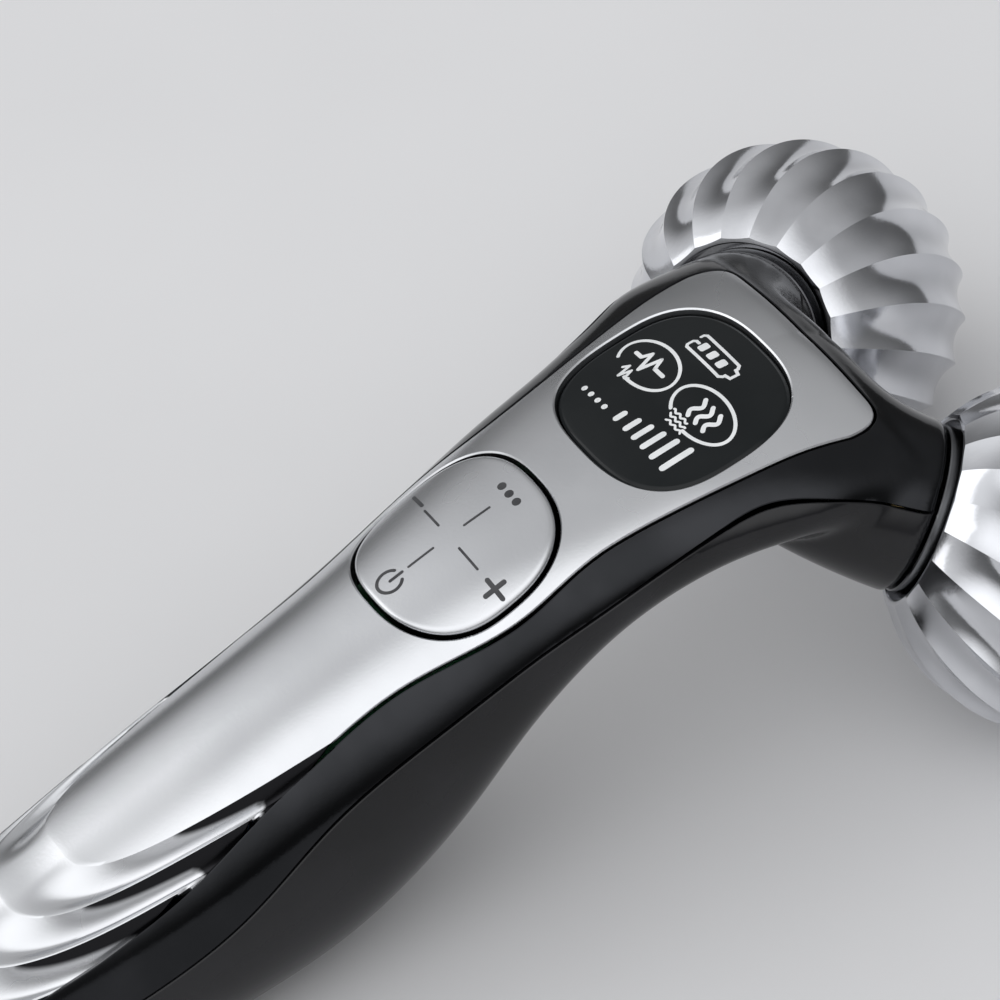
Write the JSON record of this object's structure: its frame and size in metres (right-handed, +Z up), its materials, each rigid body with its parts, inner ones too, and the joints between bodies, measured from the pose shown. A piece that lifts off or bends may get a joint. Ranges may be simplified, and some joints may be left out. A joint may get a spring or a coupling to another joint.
{
  "type": "ems beauty roller",
  "caption": "Hand-held massage roller with fluted chrome balls on splayed arms, a tilting button pad, a display window and a lobed grip.",
  "frame": {"origin": "on the table under the middle of the whole roller", "axes": "+Z up from the table, +Y from the handle end towards the balls, +X to the right across the handle"},
  "size_m": [0.0995, 0.1901, 0.047],
  "materials": {
    "silver_cover": "satin silver plate",
    "dark_chrome": "polished black chrome plate",
    "black_shell": "high gloss",
    "dark_lens": "polished tinted lens",
    "ball_chrome": "mirror polished",
    "circuit_board": "solder mask",
    "grey_plastic": "moulded, satin",
    "battery_wrap": "shrink wrap",
    "steel": "turned",
    "brass": "turned"
  },
  "bodies": {
    "frame": {"upper_housing": "dark_chrome", "lower_housing": "black_shell", "top_cover": "silver_cover", "display_window": "dark_lens", "display_board": "circuit_board", "pad_pivot": "grey_plastic", "switch_minus": "steel", "switch_plus": "steel", "switch_mode": "steel", "switch_power": "steel", "main_board": "circuit_board", "battery_cell": "battery_wrap", "vibration_motor": "steel", "end_cap": "black_shell", "charge_socket": "steel", "left_axle": "steel", "left_axle_screw": "steel", "left_contact_ring": "brass", "left_collar": "ball_chrome", "right_axle": "steel", "right_axle_screw": "steel", "right_contact_ring": "brass", "right_collar": "ball_chrome", "housing_screw_front_left": "steel", "housing_screw_front_right": "steel", "housing_screw_rear_left": "steel", "housing_screw_rear_right": "steel"},
    "left_roller": {"left_roller_ball": "ball_chrome", "left_hub_cap": "ball_chrome", "left_inner_bearing": "steel", "left_outer_bearing": "steel"},
    "right_roller": {"right_roller_ball": "ball_chrome", "right_hub_cap": "ball_chrome", "right_inner_bearing": "steel", "right_outer_bearing": "steel"},
    "pad_rocker": {"pad_carrier": "grey_plastic"},
    "pad": {"button_pad": "silver_cover"},
    "weight": {"motor_weight": "brass"}
  },
  "joints": [
    {"name": "left_roller_spin", "type": "hinge", "parent": "frame", "child": "left_roller", "pos_m": [-0.0288, 0.0741, 0.021], "axis": [-0.4985, 0.6861, -0.5299], "continuous": true},
    {"name": "right_roller_spin", "type": "hinge", "parent": "frame", "child": "right_roller", "pos_m": [0.0288, 0.0741, 0.021], "axis": [0.4985, 0.6861, -0.5299], "continuous": true},
    {"name": "pad_tilt_fore_aft", "type": "hinge", "parent": "frame", "child": "pad_rocker", "pos_m": [0, 0.01279, 0.03989], "axis": [1, 0, 0], "range_deg": [-2, 2], "stiffness_Nm_per_rad": 0.4},
    {"name": "pad_tilt_side", "type": "hinge", "parent": "pad_rocker", "child": "pad", "pos_m": [0, 0.01279, 0.03989], "axis": [0, 0.9792, 0.2028], "range_deg": [-2, 2], "stiffness_Nm_per_rad": 0.4},
    {"name": "motor_weight_spin", "type": "hinge", "parent": "frame", "child": "weight", "pos_m": [0, 0.0414, 0.0392], "axis": [0, 1, 0], "continuous": true}
  ]
}
